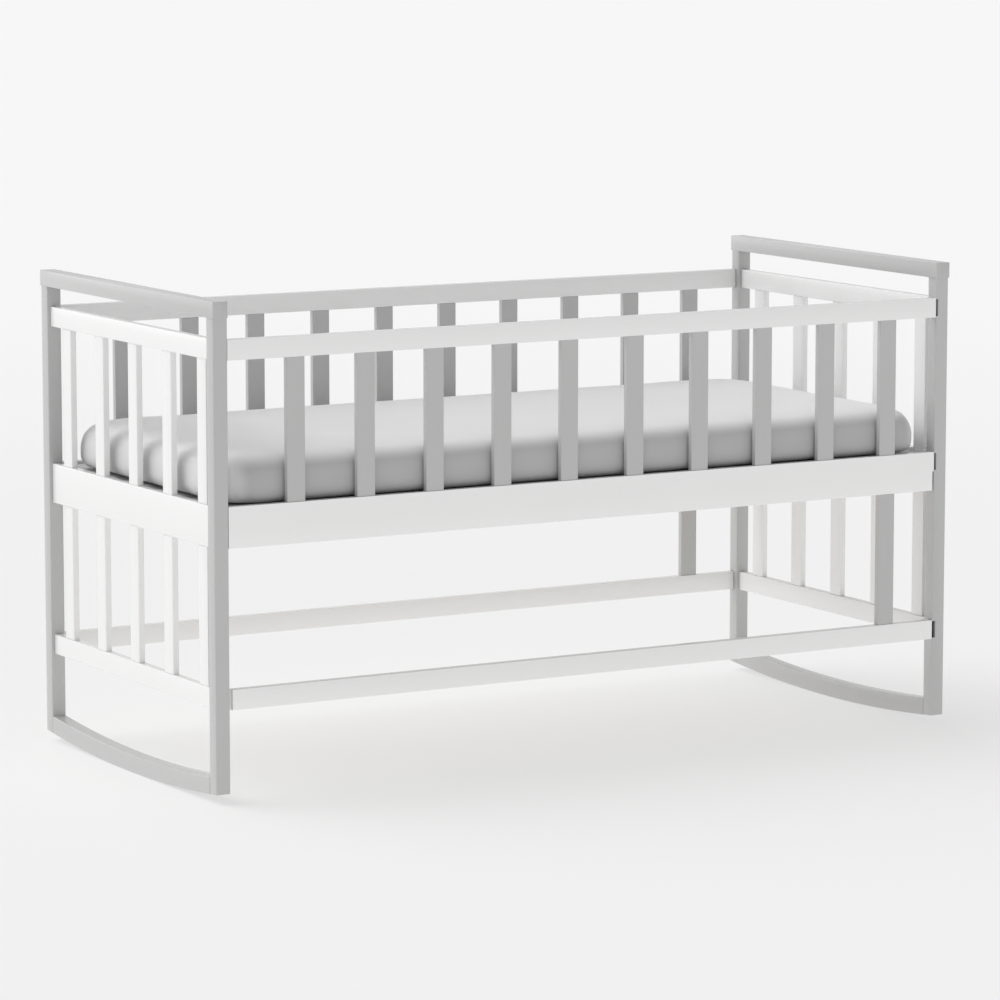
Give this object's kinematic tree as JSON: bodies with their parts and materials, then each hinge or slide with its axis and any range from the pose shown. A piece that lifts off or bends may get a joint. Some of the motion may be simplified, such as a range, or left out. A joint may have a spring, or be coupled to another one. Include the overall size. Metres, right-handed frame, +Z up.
{
  "type": "rocking crib",
  "caption": "Slatted rocking crib: square-post end frames on curved rockers, flat side and end rails, a solid bed deck and a soft mattress that lifts out.",
  "frame": {"origin": "on the floor, at the middle of the crib's length and depth", "axes": "+X along the crib's length, -Y towards the front long side, +Z up"},
  "size_m": [1.242, 0.574, 0.7086],
  "materials": {
    "white_paint": "satin paint",
    "grey_paint": "satin paint",
    "deck_paint": "matt paint",
    "bare_wood": "planed",
    "mattress_cover": "woven cotton"
  },
  "bodies": {
    "frame": {"left_front_post": "grey_paint", "left_rear_post": "grey_paint", "left_cap_rail": "grey_paint", "left_rocker": "grey_paint", "right_front_post": "grey_paint", "right_rear_post": "grey_paint", "right_cap_rail": "grey_paint", "right_rocker": "grey_paint", "front_top_rail": "white_paint", "front_bed_rail": "white_paint", "front_lower_rail": "white_paint", "front_stretcher": "white_paint", "front_slat_1": "grey_paint", "front_slat_2": "grey_paint", "front_slat_3": "grey_paint", "front_slat_4": "grey_paint", "front_slat_5": "grey_paint", "front_slat_6": "grey_paint", "front_slat_7": "grey_paint", "front_slat_8": "grey_paint", "front_slat_9": "grey_paint", "front_slat_10": "grey_paint", "front_strut": "grey_paint", "rear_top_rail": "white_paint", "rear_bed_rail": "white_paint", "rear_lower_rail": "white_paint", "rear_stretcher": "white_paint", "rear_slat_1": "grey_paint", "rear_slat_2": "grey_paint", "rear_slat_3": "grey_paint", "rear_slat_4": "grey_paint", "rear_slat_5": "grey_paint", "rear_slat_6": "grey_paint", "rear_slat_7": "grey_paint", "rear_slat_8": "grey_paint", "rear_slat_9": "grey_paint", "rear_slat_10": "grey_paint", "rear_strut": "grey_paint", "left_end_top_rail": "white_paint", "left_end_middle_rail": "white_paint", "left_end_bottom_rail": "white_paint", "left_end_slat_1": "white_paint", "left_end_slat_2": "white_paint", "left_end_slat_3": "white_paint", "left_end_slat_4": "white_paint", "left_end_slat_5": "white_paint", "right_end_top_rail": "white_paint", "right_end_middle_rail": "white_paint", "right_end_bottom_rail": "white_paint", "right_end_slat_1": "white_paint", "right_end_slat_2": "white_paint", "right_end_slat_3": "white_paint", "right_end_slat_4": "white_paint", "right_end_slat_5": "white_paint", "deck": "deck_paint", "front_cleat": "bare_wood", "rear_cleat": "bare_wood", "deck_batten_1": "bare_wood", "deck_batten_2": "bare_wood"},
    "mattress": {"mattress": "mattress_cover"}
  },
  "joints": [
    {"name": "mattress_lift", "type": "slide", "parent": "frame", "child": "mattress", "axis": [0, 0, 1], "range_m": [0, 0.45]}
  ]
}
